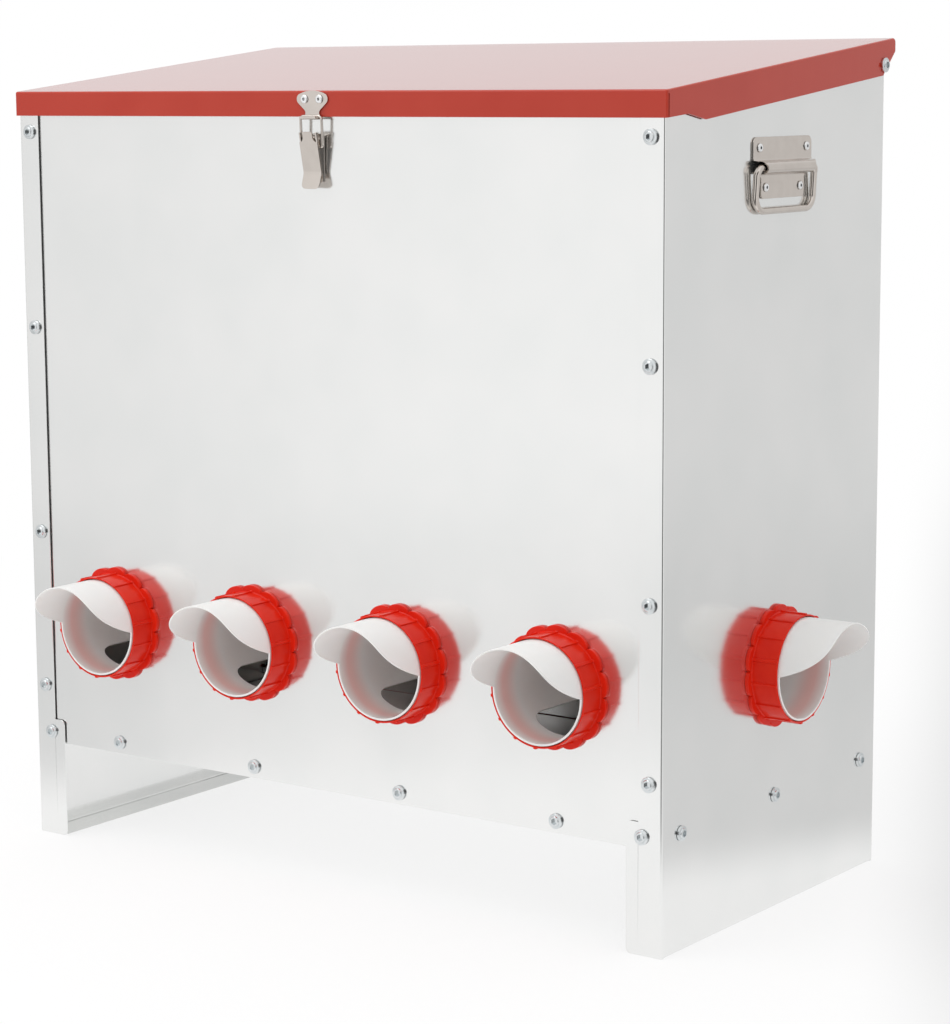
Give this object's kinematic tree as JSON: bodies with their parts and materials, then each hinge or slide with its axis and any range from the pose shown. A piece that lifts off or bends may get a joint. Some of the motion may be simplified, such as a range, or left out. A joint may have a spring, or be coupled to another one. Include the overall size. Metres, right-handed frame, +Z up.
{
  "type": "poultry feeder",
  "caption": "Sheet steel gravity feeder for poultry with a sloping hinged lid, toggle latch, fold-down handles and round feeding ports with visors.",
  "frame": {"origin": "middle of the bounding box on X and Y, on the ground under the feet", "axes": "+X to the feeder's right seen from the front, -Y towards the front ports, +Z up"},
  "size_m": [0.719, 0.3786, 0.63],
  "materials": {
    "galvanised_steel": "smooth galvanised sheet with a soft mirror shine",
    "red_paint": "glossy brick red paint",
    "red_plastic": "bright red moulded plastic",
    "white_plastic": "white, slightly translucent moulded plastic",
    "zinc_screws": "bright zinc plating",
    "nickel_steel": "bright nickel plating, slightly warm"
  },
  "bodies": {
    "feeder_body": {"side_panel_left": "galvanised_steel", "side_panel_right": "galvanised_steel", "front_panel": "galvanised_steel", "back_panel": "galvanised_steel", "floor_panel": "galvanised_steel", "front_screw_left_1": "zinc_screws", "front_screw_left_2": "zinc_screws", "front_screw_left_3": "zinc_screws", "front_screw_left_4": "zinc_screws", "leg_screw_left": "zinc_screws", "floor_screw_left_1": "zinc_screws", "floor_screw_left_2": "zinc_screws", "floor_screw_left_3": "zinc_screws", "front_screw_right_1": "zinc_screws", "front_screw_right_2": "zinc_screws", "front_screw_right_3": "zinc_screws", "front_screw_right_4": "zinc_screws", "leg_screw_right": "zinc_screws", "floor_screw_right_1": "zinc_screws", "floor_screw_right_2": "zinc_screws", "floor_screw_right_3": "zinc_screws", "floor_screw_front_1": "zinc_screws", "floor_screw_front_2": "zinc_screws", "floor_screw_front_3": "zinc_screws", "floor_screw_front_4": "zinc_screws", "lid_pivot_screw_left": "zinc_screws", "lid_pivot_screw_right": "zinc_screws", "port_tube_front_1": "white_plastic", "lock_ring_front_1": "red_plastic", "port_tube_front_2": "white_plastic", "lock_ring_front_2": "red_plastic", "port_tube_front_3": "white_plastic", "lock_ring_front_3": "red_plastic", "port_tube_front_4": "white_plastic", "lock_ring_front_4": "red_plastic", "port_tube_left": "white_plastic", "lock_ring_left": "red_plastic", "port_tube_right": "white_plastic", "lock_ring_right": "red_plastic", "latch_base": "nickel_steel", "latch_pin": "nickel_steel", "handle_plate_left": "nickel_steel", "handle_rivet_left_1": "nickel_steel", "handle_rivet_left_2": "nickel_steel", "handle_rivet_left_3": "nickel_steel", "handle_rivet_left_4": "nickel_steel", "handle_plate_right": "nickel_steel", "handle_rivet_right_1": "nickel_steel", "handle_rivet_right_2": "nickel_steel", "handle_rivet_right_3": "nickel_steel", "handle_rivet_right_4": "nickel_steel"},
    "lid": {"lid": "red_paint", "latch_catch": "nickel_steel", "catch_rivet_left": "nickel_steel", "catch_rivet_right": "nickel_steel"},
    "latch_lever": {"latch_lever": "nickel_steel"},
    "latch_bail": {"latch_bail": "nickel_steel"},
    "handle_left": {"handle_bail_left": "nickel_steel"},
    "handle_right": {"handle_bail_right": "nickel_steel"}
  },
  "joints": [
    {"name": "lid_hinge", "type": "hinge", "parent": "feeder_body", "child": "lid", "pos_m": [0, 0.17085, 0.60969], "axis": [-1, 0, 0], "range_deg": [0, 105]},
    {"name": "latch_lever_hinge", "type": "hinge", "parent": "feeder_body", "child": "latch_lever", "pos_m": [0, -0.13325, 0.55974], "axis": [-1, 0, 0], "range_deg": [0, 95]},
    {"name": "latch_bail_hinge", "type": "hinge", "parent": "latch_lever", "child": "latch_bail", "pos_m": [0, -0.13235, 0.55354], "axis": [-1, 0, 0], "range_deg": [-80.75, 0]},
    {"name": "handle_left_hinge", "type": "hinge", "parent": "feeder_body", "child": "handle_left", "pos_m": [-0.3025, 0.02385, 0.53904], "axis": [0, 1, 0], "range_deg": [0, 90]},
    {"name": "handle_right_hinge", "type": "hinge", "parent": "feeder_body", "child": "handle_right", "pos_m": [0.3025, 0.02385, 0.53904], "axis": [0, -1, 0], "range_deg": [0, 90]}
  ],
  "couplings": [
    {"joint": "latch_bail_hinge", "follows": "latch_lever_hinge", "ratio": -0.85}
  ]
}
